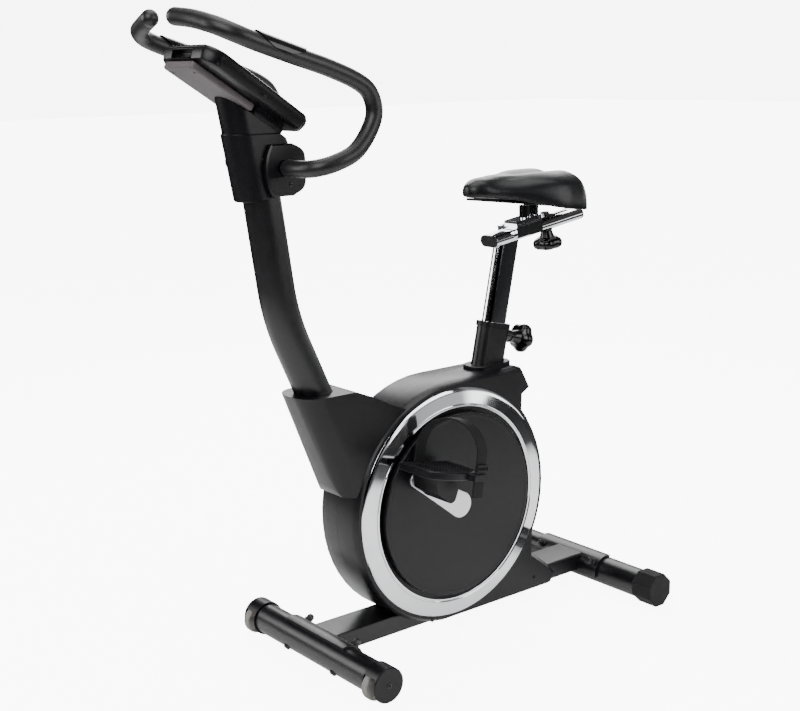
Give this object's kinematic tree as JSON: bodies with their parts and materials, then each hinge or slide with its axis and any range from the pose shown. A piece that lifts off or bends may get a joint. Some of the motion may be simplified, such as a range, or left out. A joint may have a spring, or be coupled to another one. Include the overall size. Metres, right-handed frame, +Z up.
{
  "type": "exercise bike",
  "caption": "Upright exercise bike with enclosed flywheel, round chrome-ringed covers, swept mast, looped handlebar, tilted console and a saddle on a sliding rail.",
  "frame": {"origin": "on the floor, under the middle of the bike's length and width", "axes": "+Z up; -X towards the front of the bike, where the handlebar and console are; -Y towards the rider's left"},
  "size_m": [1.063, 0.514, 1.2753],
  "materials": {
    "steel_black": "satin black powder coat",
    "plastic_black": "satin moulded plastic",
    "plastic_gloss": "gloss moulded plastic",
    "chrome": "polished chrome plate",
    "alloy": "bright satin alloy",
    "foam": "closed-cell foam, matt",
    "leather": "smooth synthetic leather over soft foam",
    "cast_iron": "machined cast iron",
    "rubber": "matt rubber",
    "wheel_grey": "scuffed grey nylon",
    "plate_grey": "grey moulded plastic",
    "screen": "smoked display window"
  },
  "bodies": {
    "frame": {"frame_base": "steel_black", "front_stabilizer": "steel_black", "rear_stabilizer": "steel_black", "seat_tube": "steel_black", "front_post": "steel_black", "drive_bracket": "steel_black", "front_bolt_left": "steel_black", "front_bolt_right": "steel_black", "rear_bolt_left": "steel_black", "rear_bolt_right": "steel_black", "front_cap_left": "plastic_black", "front_cap_right": "plastic_black", "seat_collar": "plastic_black", "cover_left": "plastic_black", "cover_right": "plastic_black", "post_boot": "plastic_black", "tension_motor": "plastic_black", "mast_cover": "plastic_black", "handlebar_clamp": "plastic_black", "console_back": "plastic_black", "console_face": "plastic_gloss", "trim_ring_left": "chrome", "trim_ring_right": "chrome", "crank_bearing": "alloy", "drive_belt": "rubber", "console_plate": "plate_grey", "console_display": "screen"},
    "crank": {"crank_axle": "alloy", "crank_disc_left": "plastic_black", "crank_disc_right": "plastic_black", "crank_arm_left": "alloy", "crank_arm_right": "alloy", "drive_pulley": "plastic_black"},
    "left_pedal": {"pedal_left": "plastic_black", "strap_left": "rubber"},
    "right_pedal": {"pedal_right": "plastic_black", "strap_right": "rubber"},
    "flywheel": {"flywheel": "cast_iron"},
    "magnet_arm": {"magnet_arm": "steel_black"},
    "handlebar": {"handlebar": "steel_black", "grip_foam_left": "foam", "grip_foam_right": "foam", "pulse_sensor_left": "plastic_gloss", "pulse_sensor_right": "plastic_gloss"},
    "seat_post": {"seat_post": "chrome", "seat_rail": "chrome", "rail_cap_front": "plastic_black", "rail_cap_rear": "plastic_black"},
    "saddle": {"seat_carriage": "chrome", "saddle_pan": "plastic_black", "saddle_cushion": "leather"},
    "carriage_knob": {"carriage_knob": "plastic_gloss"},
    "seat_height_knob": {"seat_height_knob": "plastic_gloss"},
    "left_transport_wheel": {"transport_wheel_left": "wheel_grey"},
    "right_transport_wheel": {"transport_wheel_right": "wheel_grey"},
    "left_rear_cap": {"rear_cap_left": "rubber"},
    "right_rear_cap": {"rear_cap_right": "rubber"},
    "console_dial": {"console_dial": "alloy"},
    "left_button": {"console_button_left": "plate_grey"},
    "right_button": {"console_button_right": "plate_grey"}
  },
  "joints": [
    {"name": "flywheel_spin", "type": "hinge", "parent": "frame", "child": "flywheel", "pos_m": [0.04746, 0, 0.156], "axis": [0, 1, 0], "continuous": true},
    {"name": "crank_spin", "type": "hinge", "parent": "frame", "child": "crank", "pos_m": [0.07246, 0, 0.286], "axis": [0, 1, 0], "continuous": true},
    {"name": "left_pedal_spin", "type": "hinge", "parent": "crank", "child": "left_pedal", "pos_m": [-0.04442, 0, 0.36307], "axis": [0, 1, 0], "continuous": true},
    {"name": "right_pedal_spin", "type": "hinge", "parent": "crank", "child": "right_pedal", "pos_m": [0.18934, 0, 0.20893], "axis": [0, 1, 0], "continuous": true},
    {"name": "magnet_arm_swing", "type": "hinge", "parent": "frame", "child": "magnet_arm", "pos_m": [0.13746, -0.05, 0.088], "axis": [0, 1, 0], "range_deg": [0, 8]},
    {"name": "handlebar_tilt", "type": "hinge", "parent": "frame", "child": "handlebar", "pos_m": [-0.31254, 0, 0.998], "axis": [0, 1, 0], "range_deg": [-4, 20]},
    {"name": "seat_height", "type": "slide", "parent": "frame", "child": "seat_post", "axis": [0.213, 0, 0.977], "range_m": [-0.1, 0.15]},
    {"name": "saddle_fore_aft", "type": "slide", "parent": "seat_post", "child": "saddle", "axis": [0.989, 0, 0.1478], "range_m": [-0.03, 0.055]},
    {"name": "carriage_knob_turn", "type": "hinge", "parent": "saddle", "child": "carriage_knob", "pos_m": [0.39261, 0, 0.83483], "axis": [-0.1478, 0, 0.989], "range_deg": [-180, 180]},
    {"name": "seat_knob_pull", "type": "slide", "parent": "frame", "child": "seat_height_knob", "axis": [0.977, 0, -0.213], "range_m": [0, 0.012], "stiffness_N_per_m": 500, "springref_m": -0.006},
    {"name": "left_transport_wheel_roll", "type": "hinge", "parent": "frame", "child": "left_transport_wheel", "pos_m": [-0.24854, -0.1985, 0.03], "axis": [0, 1, 0], "continuous": true},
    {"name": "right_transport_wheel_roll", "type": "hinge", "parent": "frame", "child": "right_transport_wheel", "pos_m": [-0.24854, 0.2125, 0.03], "axis": [0, 1, 0], "continuous": true},
    {"name": "left_rear_cap_turn", "type": "hinge", "parent": "frame", "child": "left_rear_cap", "pos_m": [0.49546, -0.23, 0.037], "axis": [0, 1, 0], "continuous": true},
    {"name": "right_rear_cap_turn", "type": "hinge", "parent": "frame", "child": "right_rear_cap", "pos_m": [0.49546, 0.23, 0.037], "axis": [0, 1, 0], "continuous": true},
    {"name": "console_dial_turn", "type": "hinge", "parent": "frame", "child": "console_dial", "pos_m": [-0.32422, 0, 1.12169], "axis": [0.5402, 0, 0.8415], "continuous": true},
    {"name": "left_button_press", "type": "slide", "parent": "frame", "child": "left_button", "axis": [-0.5402, 0, -0.8415], "range_m": [0, 0.0015], "stiffness_N_per_m": 300, "springref_m": -0.001},
    {"name": "right_button_press", "type": "slide", "parent": "frame", "child": "right_button", "axis": [-0.5402, 0, -0.8415], "range_m": [0, 0.0015], "stiffness_N_per_m": 300, "springref_m": -0.001}
  ],
  "couplings": [
    {"joint": "crank_spin", "follows": "flywheel_spin", "ratio": 0.13333}
  ]
}
